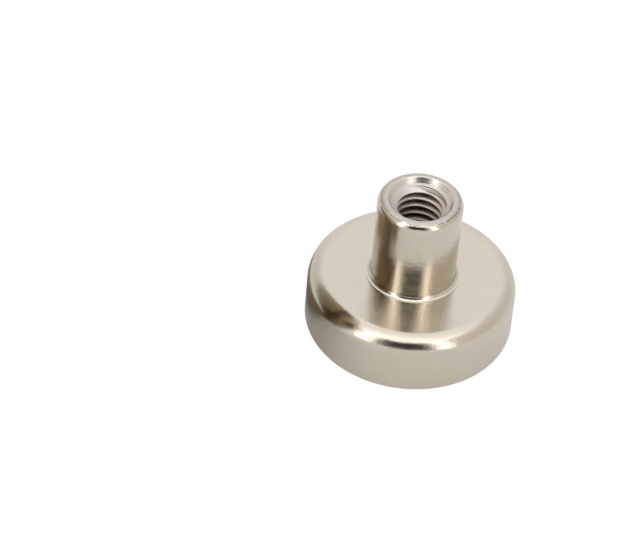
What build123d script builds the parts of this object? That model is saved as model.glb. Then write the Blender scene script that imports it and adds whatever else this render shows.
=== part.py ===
from build123d import *
import math
import os

# Pot magnet with a threaded bush. Lengths are in millimetres. The origin is the
# middle of the holding face, and +Z runs up the bush.

# Disc magnet, seated on the floor of the pot and flush with its rim
magnet_diameter = 12.0
magnet_thickness = 3.0
magnet_edge_round = 0.35

# Potting resin between the magnet and the wall of the pot, sunk below both
resin_width = 0.75
resin_recess = 0.6

# Steel pot. Its rim is an inner round, a flat band and an outer round
rim_inner_round = 0.25
rim_flat = 0.2
rim_outer_round = 0.8
pot_floor = 2.2
pot_top_round = 1.3

# Bush above the pot, with a narrow flat between its rim round and its mouth
bush_diameter = 6.5
bush_rise = 7.45
bush_rim_round = 0.6
mouth_land = 0.12

# Dished mouth: a steep wall, and a wider cone that leads in to the thread
mouth_edge_round = 0.12
dish_depth = 0.43
dish_wall_angle = 70.0
lead_in_angle = 100.0
dish_round = 0.2

# Blind M4 hole, drawn at the crests of its thread
thread_crest_diameter = 3.4
drill_point_angle = 118.0
web_below_drill = 0.7

# Foot of the bush: a hollow curve that ends in a thin lip on the pot
foot_round = 0.37
foot_land = 0.04
foot_lip = 0.06

# Spigot of the bush through the floor of the pot, with its end swaged outwards
spigot_diameter = 5.0
swage_width = 0.5
swage_angle = 90.0

# Gap on each side of round faces that are pressed or potted together
fit_gap = 0.01

cavity_radius = magnet_diameter / 2 + resin_width
pot_radius = cavity_radius + rim_inner_round + rim_flat + rim_outer_round
floor_level = magnet_thickness
pot_height = floor_level + pot_floor
bush_top = pot_height + bush_rise
spigot_radius = spigot_diameter / 2


def cone_rise(width, included_angle):
    return width / math.tan(math.radians(included_angle / 2))


def cone_width(rise, included_angle):
    return rise * math.tan(math.radians(included_angle / 2))


swage_level = floor_level + cone_rise(swage_width, swage_angle)


def turned(corners):
    outline = make_face(Polyline(*corners, close=True))
    return revolve(Plane.XZ * outline, Axis.Z)


def ring_edges(body, level, radius):
    rings = body.edges().filter_by(GeomType.CIRCLE)
    return [ring for ring in rings
            if abs(ring.center().Z - level) < 1e-4 and abs(ring.radius - radius) < 1e-4]


def make_magnet():
    radius = magnet_diameter / 2
    magnet = turned([
        (0, 0),
        (radius, 0),
        (radius, magnet_thickness),
        (0, magnet_thickness),
    ])
    return fillet(magnet.edges().filter_by(GeomType.CIRCLE), magnet_edge_round)


def make_resin():
    inner = magnet_diameter / 2 + fit_gap
    outer = cavity_radius - fit_gap
    return turned([
        (inner, resin_recess),
        (outer, resin_recess),
        (outer, floor_level),
        (inner, floor_level),
    ])


def make_pot():
    hole = spigot_radius + fit_gap
    pot = turned([
        (cavity_radius, 0),
        (pot_radius, 0),
        (pot_radius, pot_height),
        (hole, pot_height),
        (hole, swage_level),
        (hole + swage_width, floor_level),
        (cavity_radius, floor_level),
    ])
    pot = fillet(ring_edges(pot, pot_height, pot_radius), pot_top_round)
    pot = fillet(ring_edges(pot, 0, pot_radius), rim_outer_round)
    return fillet(ring_edges(pot, 0, cavity_radius), rim_inner_round)


def make_bush():
    body = bush_diameter / 2
    foot = body + foot_round + foot_land
    lip_level = pot_height + foot_lip
    crest = thread_crest_diameter / 2
    mouth = body - bush_rim_round - mouth_land
    dish_level = bush_top - dish_depth
    lead_in_radius = mouth - cone_width(dish_depth, dish_wall_angle)
    thread_start = dish_level - cone_rise(lead_in_radius - crest, lead_in_angle)
    drill_tip = floor_level + web_below_drill
    thread_end = drill_tip + cone_rise(crest, drill_point_angle)
    bush = turned([
        (0, floor_level),
        (spigot_radius + swage_width, floor_level),
        (spigot_radius, swage_level),
        (spigot_radius, pot_height),
        (foot, pot_height),
        (foot, lip_level),
        (body, lip_level),
        (body, bush_top),
        (mouth, bush_top),
        (lead_in_radius, dish_level),
        (crest, thread_start),
        (crest, thread_end),
        (0, drill_tip),
    ])
    bush = fillet(ring_edges(bush, lip_level, body), foot_round)
    bush = fillet(ring_edges(bush, bush_top, mouth), mouth_edge_round)
    bush = fillet(ring_edges(bush, dish_level, lead_in_radius), dish_round)
    return fillet(ring_edges(bush, bush_top, body), bush_rim_round)


os.makedirs("parts", exist_ok=True)
export_step(make_pot(), "parts/pot.step")
export_step(make_magnet(), "parts/disc_magnet.step")
export_step(make_resin(), "parts/resin_ring.step")
export_step(make_bush(), "parts/threaded_bush.step")
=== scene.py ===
import bmesh
import bpy
import math
from mathutils import Matrix, Vector


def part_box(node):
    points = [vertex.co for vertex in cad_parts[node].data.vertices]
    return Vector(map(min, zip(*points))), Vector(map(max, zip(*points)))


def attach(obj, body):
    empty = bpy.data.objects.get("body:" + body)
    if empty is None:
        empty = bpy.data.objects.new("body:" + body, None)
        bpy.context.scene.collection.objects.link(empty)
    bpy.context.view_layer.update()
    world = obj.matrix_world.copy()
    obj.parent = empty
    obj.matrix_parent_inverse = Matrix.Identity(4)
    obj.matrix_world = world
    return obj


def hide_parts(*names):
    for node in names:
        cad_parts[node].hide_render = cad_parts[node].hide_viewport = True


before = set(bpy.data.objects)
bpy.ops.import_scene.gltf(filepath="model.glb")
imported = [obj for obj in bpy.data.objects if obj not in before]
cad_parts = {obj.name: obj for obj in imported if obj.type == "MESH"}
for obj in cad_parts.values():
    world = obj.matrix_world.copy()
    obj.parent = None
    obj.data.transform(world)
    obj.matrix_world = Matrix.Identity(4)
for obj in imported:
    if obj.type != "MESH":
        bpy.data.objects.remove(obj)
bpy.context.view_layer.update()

mm = 0.001           # all lengths are written in millimetres
weldGap = 1e-5       # vertices nearer than this are one
cutWeldGap = 1e-4    # the same for what a cut or a helix leaves
ringGap = 1e-3       # how near to a ring its edges are looked for
bpy.context.scene.view_settings.view_transform = "Standard"
print("frame loaded")


def boxOf(node):
    low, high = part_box(node)
    return low / mm, high / mm


def weld(bm, gap=weldGap):
    bmesh.ops.remove_doubles(bm, verts=bm.verts, dist=gap)


# a closed outline of (radius, level) corners, spun about the Z axis
def turnedBody(corners, steps):
    bm = bmesh.new()
    verts = [bm.verts.new((radius, 0, level)) for radius, level in corners]
    edges = [bm.edges.new(pair) for pair in zip(verts, verts[1:] + verts[:1])]
    offAxis = [e for e in edges if any(v.co.x > weldGap for v in e.verts)]
    bmesh.ops.spin(bm, geom=verts + offAxis, cent=(0, 0, 0), axis=(0, 0, 1),
                   angle=2 * math.pi, steps=steps, use_merge=True)
    loose = [e for e in bm.edges if not e.link_faces]
    bmesh.ops.delete(bm, geom=loose, context="EDGES")
    weld(bm)
    bmesh.ops.recalc_face_normals(bm, faces=bm.faces)
    return bm


def ringEdges(bm, radius, level):
    def onRing(vert):
        return abs(vert.co.xy.length - radius) < ringGap and abs(vert.co.z - level) < ringGap
    return [e for e in bm.edges if all(onRing(v) for v in e.verts)]


def roundRing(bm, radius, level, size, segments):
    bmesh.ops.bevel(bm, geom=ringEdges(bm, radius, level), offset=size, offset_type="OFFSET",
                    segments=segments, profile=0.5, affect="EDGES", material=-1, clamp_overlap=False)


# a cone's rise and the growth of its radius, from its full angle
def coneRise(width, angle):
    return width / math.tan(math.radians(angle / 2))


def coneWidth(rise, angle):
    return rise * math.tan(math.radians(angle / 2))


# how far a round of this radius reaches along the walls of a corner that turns by an angle
def roundReach(radius, turn):
    return radius * math.tan(math.radians(turn / 2))


def addObject(bm, name, sharpAngle=40):
    for face in bm.faces:
        face.smooth = True
    for edge in bm.edges:
        if len(edge.link_faces) == 2 and edge.calc_face_angle() > math.radians(sharpAngle):
            edge.smooth = False
    mesh = bpy.data.meshes.new(name)
    bm.to_mesh(mesh)
    bm.free()
    mesh.transform(Matrix.Scale(mm, 4))
    added = bpy.data.objects.new(name, mesh)
    bpy.context.scene.collection.objects.link(added)
    return added


def finishPiece(piece, node, material):
    piece.data.materials.append(material)
    weighted = piece.modifiers.new("flatNormals", "WEIGHTED_NORMAL")
    weighted.keep_sharp = True
    weighted.weight = 80
    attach(piece, "root")
    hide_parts(node)
    print("piece", piece.name, len(piece.data.polygons), "faces")


# a shader socket that takes part in sums
class Wire:
    def __init__(self, tree, socket):
        self.tree = tree
        self.socket = socket

    def math(self, operation, other=None, swap=False):
        node = self.tree.nodes.new("ShaderNodeMath")
        node.operation = operation
        values = [self] if other is None else [other, self] if swap else [self, other]
        for slot, value in zip(node.inputs, values):
            if isinstance(value, Wire):
                self.tree.links.new(value.socket, slot)
            else:
                slot.default_value = value
        return Wire(self.tree, node.outputs[0])

    def __add__(self, other):
        return self.math("ADD", other)

    def __sub__(self, other):
        return self.math("SUBTRACT", other)

    def __mul__(self, other):
        return self.math("MULTIPLY", other)

    def __radd__(self, other):
        return self.math("ADD", other, True)

    def __rsub__(self, other):
        return self.math("SUBTRACT", other, True)

    def __rmul__(self, other):
        return self.math("MULTIPLY", other, True)


# the nodes of one material or world
class Shade:
    def __init__(self, tree):
        self.tree = tree
        tree.nodes.clear()

    def node(self, kind, settings=None, inputs=None, output=0):
        node = self.tree.nodes.new("ShaderNode" + kind)
        for key, value in (settings or {}).items():
            setattr(node, key, value)
        for key, value in (inputs or {}).items():
            slot = node.inputs[key]
            if isinstance(value, Wire):
                self.tree.links.new(value.socket, slot)
            else:
                slot.default_value = value
        return Wire(self.tree, node.outputs[output]) if len(node.outputs) else None

    def place(self, kind="Object"):
        return self.node("TexCoord", output=kind)

    def ray(self, kind):
        return self.node("LightPath", output=f"Is {kind} Ray")

    def axes(self, vector):
        return [self.node("SeparateXYZ", None, {0: vector}, axis) for axis in range(3)]

    def step(self, value, low, high, fromTone=0.0, toTone=1.0):
        return self.node("MapRange", {"interpolation_type": "SMOOTHSTEP"},
                         {"Value": value, "From Min": low, "From Max": high,
                          "To Min": fromTone, "To Max": toTone})

    def above(self, value, limit, edge):
        return self.step(value, limit, limit + edge)

    def below(self, value, limit, edge):
        return self.step(value, limit, limit + edge, 1, 0)

    # a Mix node has its colour sockets at 6, 7 and 2
    def mixColour(self, factor, first, second):
        return self.node("Mix", {"data_type": "RGBA"}, {0: factor, 6: first, 7: second}, 2)

    def noise(self, place, size, detail=2.0, roughness=0.5):
        return self.node("TexNoise", None, {"Vector": place, "Scale": 1 / (size * mm),
                                            "Detail": detail, "Roughness": roughness})

    def relief(self, height):
        return self.node("Bump", None, {"Strength": 1.0, "Distance": mm, "Height": height})

    def surface(self, shader, kind="OutputMaterial"):
        self.node(kind, None, {"Surface": shader})


def newMaterial(name):
    material = bpy.data.materials.new(name)
    material.use_nodes = True
    return material, Shade(material.node_tree)


# nickel plate: a cloudy, speckled tone and gloss, with an orange-peel relief and a fine grit on it
nickel = {
    "bright": (0.715, 0.66, 0.57, 1), "dull": (0.595, 0.546, 0.466, 1),
    "toneSize": 1.6, "speckSize": 0.1, "cloudShare": 0.4, "cloudDetail": 4.0,
    "hazeSize": 0.5, "hazeSpan": (0.3, 0.7), "hazeGloss": (0.85, 1.2),
}


def plateTone(s, place, look):
    clouds = s.noise(place, look["toneSize"], look["cloudDetail"])
    specks = s.noise(place, look["speckSize"])
    mottle = clouds * look["cloudShare"] + specks * (1 - look["cloudShare"])
    return s.mixColour(mottle, look["dull"], look["bright"])


def plateRelief(s, place, look):
    peel = s.noise(place, look["peelSize"])
    grit = s.noise(place, look["gritSize"])
    return peel * look["peelHeight"] + grit * look["gritHeight"]


def plateRoughness(s, place, look):
    haze = s.noise(place, look["hazeSize"], look["cloudDetail"])
    clear, hazy = (look["roughness"] * share for share in look["hazeGloss"])
    return s.step(haze, *look["hazeSpan"], clear, hazy)


def metalSurface(s, tone, rough, height):
    s.surface(s.node("BsdfPrincipled", None, {"Base Color": tone, "Metallic": 1.0, "Roughness": rough,
                                              "Normal": s.relief(height)}))


def nickelPlate(name, look):
    material, s = newMaterial(name)
    place = s.place()
    rough, height = plateRoughness(s, place, look), plateRelief(s, place, look)
    metalSurface(s, plateTone(s, place, look), rough, height)
    return material


# where pieces meet: the spigot of the bush is swaged in the floor of the pot, and round faces have a gap
fits = {"spigotRadius": 2.5, "swageWidth": 0.5, "gap": 0.01}

pot = {
    "topRound": 1.3, "rimOuterRound": 0.8, "rimInnerRound": 0.25,
    "steps": 256, "roundSteps": 18, "innerRoundSteps": 6,
    "plate": {**nickel, "roughness": 0.187, "peelSize": 0.45, "peelHeight": 0.005,
              "gritSize": 0.13, "gritHeight": 0.0095},
}


def makePot():
    high = boxOf("pot")[1]
    outer, top = high.x, high.z
    cavity = boxOf("resin_ring")[1].x + fits["gap"]
    floor = boxOf("disc_magnet")[1].z
    hole, swage = fits["spigotRadius"] + fits["gap"], fits["swageWidth"]
    bm = turnedBody([(cavity, 0), (outer, 0), (outer, top), (hole, top), (hole, floor + swage),
                     (hole + swage, floor), (cavity, floor)], pot["steps"])
    roundRing(bm, outer, top, pot["topRound"], pot["roundSteps"])
    roundRing(bm, outer, 0, pot["rimOuterRound"], pot["roundSteps"])
    roundRing(bm, cavity, 0, pot["rimInnerRound"], pot["innerRoundSteps"])
    finishPiece(addObject(bm, "steelPot"), "pot", nickelPlate("satinNickel", pot["plate"]))


# The mouth of the bush is a steep-walled dish, and a wider cone leads from it in to the thread.
bush = {
    "radius": 3.25, "rimRound": 0.6, "mouthLand": 0.12, "mouthEdgeRound": 0.12,
    "dishDepth": 0.43, "dishWallAngle": 70.0, "dishRound": 0.2, "leadInAngle": 100.0,
    "footRound": 0.37, "footLand": 0.04, "footLip": 0.06,
    "drillAngle": 118.0, "drillUndersize": 0.01, "drillOvershoot": 1.0, "web": 0.7,
    "plugRadius": 1.2,     # the cone runs on to here, inside what the drill takes away
    "steps": 256, "roundSteps": 12, "mouthSteps": 6, "drillSteps": 192, "sharpAngle": 25,
    "thread": {"pitch": 0.7, "crestRadius": 1.7, "rootRadius": 2.1, "rootFlat": 0.0875,
               "flankAngle": 60.0, "turns": 11, "stepsPerTurn": 144,
               "grooveAtBack": 12.075},     # level of a groove's middle on the +Y side
    "plate": {**nickel, "roughness": 0.168, "peelSize": 0.45, "peelHeight": 0.004,
              "gritSize": 0.14, "gritHeight": 0.0108},
    # the bore's tones: its own duller tapped metal, with painted shade that is darkest deep down and
    # where the last groove runs out on the cone
    "bore": {"radius": 2.12, "edge": 0.04, "roughness": 0.3,
             "scoreSize": 0.16, "scoreDetail": 3.0, "scoreHeight": 0.006,
             "deepLevel": 9.6, "deepShadeTone": (0.3, 0.25, 0.215, 1),
             "shallowLevel": 11.2, "shallowTone": (0.6, 0.51, 0.44, 1),
             "runOutLevel": 11.8, "runOutShadeTone": (0.21, 0.19, 0.17, 1),
             "grooveTop": 12.2, "grooveTopTone": (0.68, 0.63, 0.58, 1)},
    "mouth": {"edge": 0.06, "tone": (0.73, 0.695, 0.65, 1), "roughness": 0.3, "coneRoughness": 0.5,
              "ringSize": 0.09, "ringDetail": 2.0, "ringHeight": 0.009, "ringSpan": (0.35, 0.65),
              "ringTones": ((0.49, 0.457, 0.405, 1), (0.59, 0.553, 0.5, 1)), "ringsEnd": 2.96,
              # a painted dark reflection line on the rim, broken up by noise
              "reflectionLineRadius": 2.98, "reflectionLineWidth": 0.07, "reflectionLineTone": (0.25, 0.225, 0.19, 1),
              "breakSize": 0.5, "breakSpan": (0.35, 0.55)},
}


# radii and levels of the mouth that follow from the sizes above
def mouthSizes():
    radius = bush["radius"] - bush["rimRound"] - bush["mouthLand"]
    dishLevel = boxOf("threaded_bush")[1].z - bush["dishDepth"]
    coneRadius = radius - coneWidth(bush["dishDepth"], bush["dishWallAngle"])
    coneDepth = coneRise(coneRadius - bush["thread"]["crestRadius"], bush["leadInAngle"])
    return {"radius": radius, "dishLevel": dishLevel, "coneRadius": coneRadius,
            "threadLevel": dishLevel - coneDepth}


# where the bore, the dish, the turned rim and the painted dark reflection line on it lie, each from 0 to
# 1
def mouthMasks(s, place, radius, level):
    sizes, bore, mouth = mouthSizes(), bush["bore"], bush["mouth"]
    lip, threadLevel = sizes["radius"], sizes["threadLevel"]
    edge, boreEdge = mouth["edge"], bore["edge"]
    cone = bush["thread"]["crestRadius"] + (level - threadLevel) * coneWidth(1, bush["leadInAngle"])
    behindCone = s.above(radius - cone, boreEdge / 2, boreEdge / 2)
    inBore = s.below(radius, bore["radius"], boreEdge) * behindCone
    inBore = inBore * s.below(level, bore["grooveTop"], boreEdge)
    inDish = s.below(radius, lip, edge) * s.above(level, threadLevel - boreEdge, boreEdge) * (1 - inBore)
    onTop = s.above(level, bore["grooveTop"], boreEdge)
    onRim = s.above(radius, lip, edge) * s.below(radius, mouth["ringsEnd"], edge) * onTop
    # a thin painted dark reflection line on the rim, broken up by noise
    line, width = mouth["reflectionLineRadius"], mouth["reflectionLineWidth"]
    breaks = s.step(s.noise(place, mouth["breakSize"]), *mouth["breakSpan"])
    onReflectionLine = s.above(radius, line - width, width) * s.below(radius, line, width) * onTop * breaks
    return inBore, inDish, onRim, onReflectionLine


# plate on the outside, a duller turned mouth with rings and a painted dark reflection line on its rim,
# and a scored bore in its own duller metal with painted shade on it
def tappedNickel(name):
    material, s = newMaterial(name)
    place = s.place()
    x, y, z = s.axes(place)
    radius = (x * x + y * y).math("SQRT") * (1 / mm)
    level = z * (1 / mm)
    sizes, plate, bore, mouth = mouthSizes(), bush["plate"], bush["bore"], bush["mouth"]
    inBore, inDish, onRim, onReflectionLine = mouthMasks(s, place, radius, level)

    # up the bore, from its deep end to where the last groove runs out on the cone: painted shade, darkest
    # at the deep end and at the groove's run-out, that fades upward
    boreShadeFade = s.step(level, bore["deepLevel"], bore["shallowLevel"])
    grooveShadeFade = s.step(level, bore["runOutLevel"], bore["grooveTop"])
    shadedWallTone = s.mixColour(boreShadeFade, bore["deepShadeTone"], bore["shallowTone"])
    shadedGrooveTone = s.mixColour(grooveShadeFade, bore["runOutShadeTone"], bore["grooveTopTone"])
    onCone = s.above(level, sizes["threadLevel"], bore["edge"])
    shadedBoreTone = s.mixColour(onCone, shadedWallTone, shadedGrooveTone)

    rings = s.node("TexNoise", {"noise_dimensions": "1D"},
                   {"W": radius, "Scale": 1 / mouth["ringSize"], "Detail": mouth["ringDetail"]})
    ringTone = s.mixColour(s.step(rings, *mouth["ringSpan"]), *mouth["ringTones"])
    tone = s.mixColour(onRim, plateTone(s, place, plate), ringTone)
    # the painted dark reflection line on the rim
    tone = s.mixColour(onReflectionLine, tone, mouth["reflectionLineTone"])
    tone = s.mixColour(inDish, tone, mouth["tone"])
    tone = s.mixColour(inBore, tone, shadedBoreTone)

    coneTop, wallFoot = sizes["dishLevel"], sizes["dishLevel"] + mouth["edge"]
    dishRough = s.step(level, coneTop, wallFoot, mouth["coneRoughness"], mouth["roughness"])
    rough = plateRoughness(s, place, plate) * (1 - inBore) * (1 - inDish)
    rough = rough + inBore * bore["roughness"] + inDish * dishRough

    scores = s.noise(place, bore["scoreSize"], bore["scoreDetail"]) * inBore * bore["scoreHeight"]
    grooves = rings * (inDish + onRim) * (1 - inBore) * mouth["ringHeight"]
    metalSurface(s, tone, rough, plateRelief(s, place, plate) + scores + grooves)
    return material


# draws the open ends of a cutter in to the axis and closes them there
def capOpenEnds(bm):
    rims = [e for e in bm.edges if e.is_boundary]
    grown = bmesh.ops.extrude_edge_only(bm, edges=rims)["geom"]
    ends = [v for v in grown if isinstance(v, bmesh.types.BMVert)]
    middle = sum(v.co.z for v in ends) / len(ends)
    for vert in ends:
        vert.co.x = 0
        vert.co.y = 0
    lowest, highest = min(v.co.z for v in ends), max(v.co.z for v in ends)
    for vert in ends:
        vert.co.z = lowest if vert.co.z < middle else highest
    weld(bm)
    bmesh.ops.recalc_face_normals(bm, faces=bm.faces)


# a corkscrew of one thread profile, whose turns meet at the crests
def makeThreadCutter():
    t = bush["thread"]
    crest, root, pitch = t["crestRadius"], t["rootRadius"], t["pitch"]
    flank = (root - crest) * math.tan(math.radians(t["flankAngle"] / 2))
    crestFlat = pitch - t["rootFlat"] - 2 * flank
    grooveMiddle = crestFlat + flank + t["rootFlat"] / 2
    # the spin starts at +X, so that it has climbed a quarter of the pitch at the back
    low = t["grooveAtBack"] + pitch - grooveMiddle - pitch / 4 - pitch * (t["turns"] - 1)
    profile = [(crest, 0), (crest, crestFlat), (root, crestFlat + flank),
               (root, crestFlat + flank + t["rootFlat"]), (crest, pitch)]
    bm = bmesh.new()
    verts = [bm.verts.new((radius, 0, low + rise)) for radius, rise in profile]
    edges = [bm.edges.new(pair) for pair in zip(verts, verts[1:])]
    bmesh.ops.spin(bm, geom=verts + edges, cent=(0, 0, 0), axis=(0, 0, 1),
                   dvec=(0, 0, pitch / t["stepsPerTurn"]), angle=2 * math.pi * t["turns"],
                   steps=t["stepsPerTurn"] * t["turns"])
    weld(bm, cutWeldGap)
    capOpenEnds(bm)
    return addObject(bm, "threadCutter")


def makeDrill(floor, top):
    tip = floor + bush["web"]
    radius = bush["thread"]["crestRadius"] - bush["drillUndersize"]
    shoulder = tip + coneRise(radius, bush["drillAngle"])
    over = top + bush["drillOvershoot"]
    bm = turnedBody([(0, tip), (radius, shoulder), (radius, over), (0, over)], bush["drillSteps"])
    return addObject(bm, "drillCutter")


def cutAway(piece, cutter):
    modifier = piece.modifiers.new("cut", "BOOLEAN")
    modifier.operation = "DIFFERENCE"
    modifier.solver = "EXACT"
    modifier.object = cutter
    shown = bpy.context.evaluated_depsgraph_get()
    mesh = bpy.data.meshes.new_from_object(piece.evaluated_get(shown))
    piece.modifiers.clear()
    piece.data = mesh
    bpy.data.objects.remove(cutter)


def makeBushBody(floor, top):
    seat = boxOf("pot")[1].z
    radius, lip = bush["radius"], seat + bush["footLip"]
    foot = radius + bush["footRound"] + bush["footLand"]
    spigot, swage = fits["spigotRadius"], fits["swageWidth"]
    sizes, plug = mouthSizes(), bush["plugRadius"]
    mouth, dishLevel, coneRadius = sizes["radius"], sizes["dishLevel"], sizes["coneRadius"]
    plugLevel = dishLevel - coneRise(coneRadius - plug, bush["leadInAngle"])
    bm = turnedBody([(0, floor), (spigot + swage, floor), (spigot, floor + swage), (spigot, seat),
                     (foot, seat), (foot, lip), (radius, lip), (radius, top), (mouth, top),
                     (coneRadius, dishLevel), (plug, plugLevel), (0, plugLevel)], bush["steps"])
    mouthTurn = 90 - bush["dishWallAngle"] / 2
    dishTurn = (bush["leadInAngle"] - bush["dishWallAngle"]) / 2
    roundRing(bm, radius, lip, bush["footRound"], bush["roundSteps"])
    roundRing(bm, radius, top, bush["rimRound"], bush["roundSteps"])
    roundRing(bm, mouth, top, roundReach(bush["mouthEdgeRound"], mouthTurn), bush["mouthSteps"])
    roundRing(bm, coneRadius, dishLevel, roundReach(bush["dishRound"], dishTurn), bush["mouthSteps"])
    return addObject(bm, "bushBody")


def makeBush():
    low, high = boxOf("threaded_bush")
    body = makeBushBody(low.z, high.z)
    cutAway(body, makeDrill(low.z, high.z))
    cutAway(body, makeThreadCutter())
    print("bush drilled and tapped")
    body.data.transform(Matrix.Scale(1 / mm, 4))
    bm = bmesh.new()
    bm.from_mesh(body.data)
    bpy.data.objects.remove(body)
    weld(bm, cutWeldGap)
    piece = addObject(bm, "threadedBush", bush["sharpAngle"])
    finishPiece(piece, "threaded_bush", tappedNickel("brightNickel"))


magnet = {
    "edgeRound": 0.35, "steps": 256, "roundSteps": 10,
    "plate": {**nickel, "bright": (0.86, 0.8, 0.705, 1), "dull": (0.44, 0.4, 0.345, 1), "speckSize": 0.11,
              "roughness": 0.25, "peelSize": 0.3, "peelHeight": 0.005,
              "gritSize": 0.12, "gritHeight": 0.014},
}


def makeMagnet():
    high = boxOf("disc_magnet")[1]
    bm = turnedBody([(0, 0), (high.x, 0), (high.x, high.z), (0, high.z)], magnet["steps"])
    for level in (0, high.z):
        roundRing(bm, high.x, level, magnet["edgeRound"], magnet["roundSteps"])
    material = nickelPlate("grainyNickel", magnet["plate"])
    finishPiece(addObject(bm, "discMagnet"), "disc_magnet", material)


resin = {"steps": 256, "dark": (0.17, 0.17, 0.18, 1), "light": (0.25, 0.25, 0.265, 1), "roughness": 0.5,
         "mottleSize": 0.5, "mottleDetail": 5.0, "mottleRoughness": 0.6, "mottleHeight": 0.02}


def castResin(name):
    material, s = newMaterial(name)
    mottle = s.noise(s.place(), resin["mottleSize"], resin["mottleDetail"], resin["mottleRoughness"])
    s.surface(s.node("BsdfPrincipled", None, {
        "Base Color": s.mixColour(mottle, resin["dark"], resin["light"]), "Roughness": resin["roughness"],
        "Normal": s.relief(mottle * resin["mottleHeight"])}))
    return material


def makeResin():
    low, high = boxOf("resin_ring")
    inner, outer = boxOf("disc_magnet")[1].x + fits["gap"], high.x
    bm = turnedBody([(inner, low.z), (outer, low.z), (outer, high.z), (inner, high.z)], resin["steps"])
    finishPiece(addObject(bm, "resinRing"), "resin_ring", castResin("pottingResin"))


makePot()
makeBush()
makeMagnet()
makeResin()


paperFloor = {"size": 3000, "drop": 0.01, "paper": (0.76, 0.755, 0.75, 1),
              "cameraGlow": 0.98, "glossGlow": 0.2}     # how white it looks straight on and in the metal


def makeFloor():
    bm = bmesh.new()
    bmesh.ops.create_grid(bm, x_segments=1, y_segments=1, size=paperFloor["size"] / 2)
    bmesh.ops.translate(bm, verts=bm.verts, vec=(0, 0, -paperFloor["drop"]))
    ground = addObject(bm, "studioFloor")
    material, s = newMaterial("floorPaper")
    mirrored = s.ray("Glossy") + s.ray("Transmission")
    shown = s.ray("Camera") * paperFloor["cameraGlow"] + mirrored * paperFloor["glossGlow"]
    paper = s.node("BsdfDiffuse", None, {"Color": paperFloor["paper"]})
    glow = s.node("Emission", None, {"Color": (1, 1, 1, 1), "Strength": 1.0})
    s.surface(s.node("MixShader", None, {0: shown, 1: paper, 2: glow}))
    ground.data.materials.append(material)


# Two dark things beside the magnet, seen only in its reflections: a round metal card that leans, a
# painted reflection that stands in for the neighbouring magnet, and a brown patch low over the floor, a
# painted shadow of that magnet.
card = {"face": (-13.9, -5.1, 10.06), "axis": (0.333, 0.722, -0.606), "radius": 7.9, "depth": 5.2,
        "edgeRound": 1.2, "steps": 96, "roundSteps": 6, "tone": (0.28, 0.215, 0.14, 1), "roughness": 0.3}
# painted shadow: a brown patch for the neighbouring magnet's shadow on the floor, seen only in the metal
patch = {"middle": (-14.6, 2.2, 0.4), "reach": (6.0, 8.6, 1.0), "steps": 48,
         "tone": (0.38, 0.31, 0.225, 1)}


def showInReflections(thing, place, material):
    thing.location = Vector(place) * mm
    thing.data.materials.append(material)
    thing.visible_camera = False


# painted reflection: a dark card that only the metal's reflections show
def makeCard():
    radius, depth = card["radius"], card["depth"]
    bm = turnedBody([(0, 0), (radius, 0), (radius, depth), (0, depth)], card["steps"])
    for level in (0, depth):
        roundRing(bm, radius, level, card["edgeRound"], card["roundSteps"])
    disc = addObject(bm, "paintedReflectionCard")
    disc.matrix_world = Vector(card["axis"]).to_track_quat("Z", "Y").to_matrix().to_4x4()
    material, s = newMaterial("paintedReflectionCardMetal")
    s.surface(s.node("BsdfPrincipled", None, {
        "Base Color": card["tone"], "Metallic": 1.0, "Roughness": card["roughness"]}))
    showInReflections(disc, card["face"], material)


# painted shadow of the neighbouring magnet, low over the floor
def makePatch():
    bm = bmesh.new()
    bmesh.ops.create_circle(bm, cap_ends=True, segments=patch["steps"], radius=1)
    bmesh.ops.scale(bm, verts=bm.verts, vec=patch["reach"])
    material, s = newMaterial("brownShade")
    s.surface(s.node("BsdfDiffuse", None, {"Color": patch["tone"]}))
    showInReflections(addObject(bm, "darkShade"), patch["middle"], material)


# A light tent, given in degrees round from the camera's side and up from the floor, with a dark gap
# in front, a brighter roof and back, and warm walls. The camera sees it plain white.
tent = {
    "gapSides": (23, 28), "gapFoot": (4, 10), "gapHead": (46, 54), "gapTone": (0.035, 0.03, 0.025, 1),
    "wall": 0.74, "wallTop": 0.82, "wallRise": (20, 48), "back": 1.03, "backSides": (128, 168),
    "roof": 1.15, "roofRise": (50, 56),
    "frontLift": 0.48, "frontSpan": (0.25, -0.35),     # extra on the roof, from behind to in front in y
    "warmTone": (1, 0.93, 0.85, 1), "warmSides": (100, 130), "warmHead": (44, 56), "white": (1, 1, 1, 1),
}


def makeTent():
    world = bpy.data.worlds.new("tent")
    world.use_nodes = True
    bpy.context.scene.world = world
    s = Shade(world.node_tree)
    x, y, z = s.axes(s.place("Generated"))
    azimuth = x.math("ARCTAN2", -1 * y).math("ABSOLUTE") * math.degrees(1)
    elevation = z.math("ARCSINE") * math.degrees(1)
    gap = (s.step(azimuth, *tent["gapSides"], 1, 0) * s.step(elevation, *tent["gapFoot"])
           * s.step(elevation, *tent["gapHead"], 1, 0))
    roof = s.step(elevation, *tent["roofRise"])
    front = s.step(y, *tent["frontSpan"])
    back = s.step(azimuth, *tent["backSides"])
    walls = s.step(elevation, *tent["wallRise"], tent["wall"], tent["wallTop"])
    walls = walls + back * (tent["back"] - tent["wallTop"])
    level = walls + roof * (tent["roof"] - walls) + roof * front * tent["frontLift"]
    warm = s.step(azimuth, *tent["warmSides"], 1, 0) * s.step(elevation, *tent["warmHead"], 1, 0)
    cloth = s.mixColour(gap, s.mixColour(warm, tent["white"], tent["warmTone"]), tent["gapTone"])
    strength = level * (1 - gap) + gap
    seen = s.ray("Camera")
    s.surface(s.node("Background", None, {"Color": s.mixColour(seen, cloth, tent["white"]),
                                          "Strength": strength * (1 - seen) + seen}), "OutputWorld")


def direction(azimuth, elevation):
    a, e = math.radians(azimuth), math.radians(elevation)
    return Vector((math.sin(a) * math.cos(e), -math.cos(a) * math.cos(e), math.sin(e)))


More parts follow.
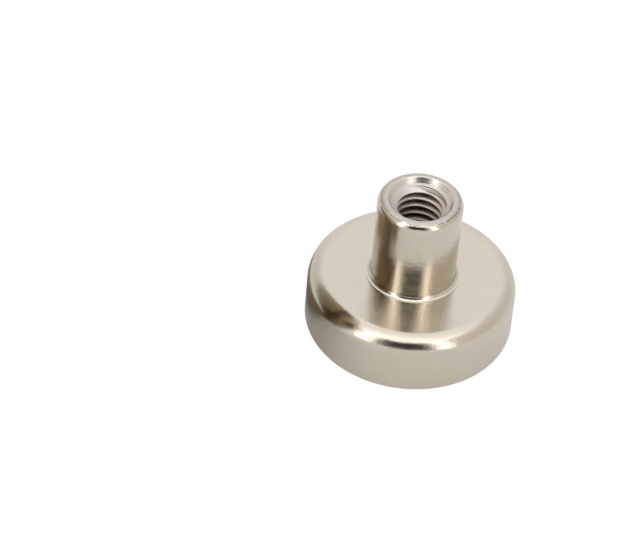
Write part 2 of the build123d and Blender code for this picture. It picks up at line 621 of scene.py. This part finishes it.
# tall softboxes on the floor beside the gap; their tops, places and half widths are in degrees,
# as seen from the magnet, and their power is for each square metre
softboxes = {"distance": 300, "top": 59, "power": 5.44,
             "boxes": {"softboxLeft": (-42, 8.2), "softboxRight": (41, 7)}}


def addSoftbox(name, azimuth, halfWidth):
    distance = softboxes["distance"] * mm
    data = bpy.data.lights.new(name, "AREA")
    data.shape = "RECTANGLE"
    data.size = 2 * distance * math.tan(math.radians(halfWidth))
    data.size_y = distance * math.tan(math.radians(softboxes["top"]))
    data.energy = softboxes["power"] * data.size * data.size_y
    lamp = bpy.data.objects.new(name, data)
    way = direction(azimuth, 0)
    lamp.location = way * distance + Vector((0, 0, data.size_y / 2))
    lamp.rotation_euler = way.to_track_quat("Z", "Y").to_euler()
    bpy.context.scene.collection.objects.link(lamp)


viewpoint = {"distance": 263.5, "elevation": 43.208, "roll": 6.564, "yaw": -1.6005, "pitch": 0.6942,
             "focalPixels": 3400, "frameWidth": 635, "sensorWidth": 36.0, "clip": (10, 10000)}


def makeCamera():
    v = viewpoint
    data = bpy.data.cameras.new("camera")
    data.sensor_width = v["sensorWidth"]
    data.lens = v["focalPixels"] * v["sensorWidth"] / v["frameWidth"]
    data.clip_start, data.clip_end = (reach * mm for reach in v["clip"])
    camera = bpy.data.objects.new("camera", data)
    spot = direction(0, v["elevation"]) * v["distance"] * mm
    aim = (-spot).to_track_quat("-Z", "Y").to_matrix()
    yaw = Matrix.Rotation(math.radians(-v["yaw"]), 3, "Y")
    pitch = Matrix.Rotation(math.radians(v["pitch"]), 3, "X")
    roll = Matrix.Rotation(math.radians(v["roll"]), 3, "Z")
    camera.matrix_world = (aim @ yaw @ pitch @ roll).to_4x4()
    camera.location = spot
    bpy.context.scene.collection.objects.link(camera)
    bpy.context.scene.camera = camera


makeFloor()
makeCard()
makePatch()
makeTent()
for name, (azimuth, halfWidth) in softboxes["boxes"].items():
    addSoftbox(name, azimuth, halfWidth)
makeCamera()
print("studio lit, camera placed")
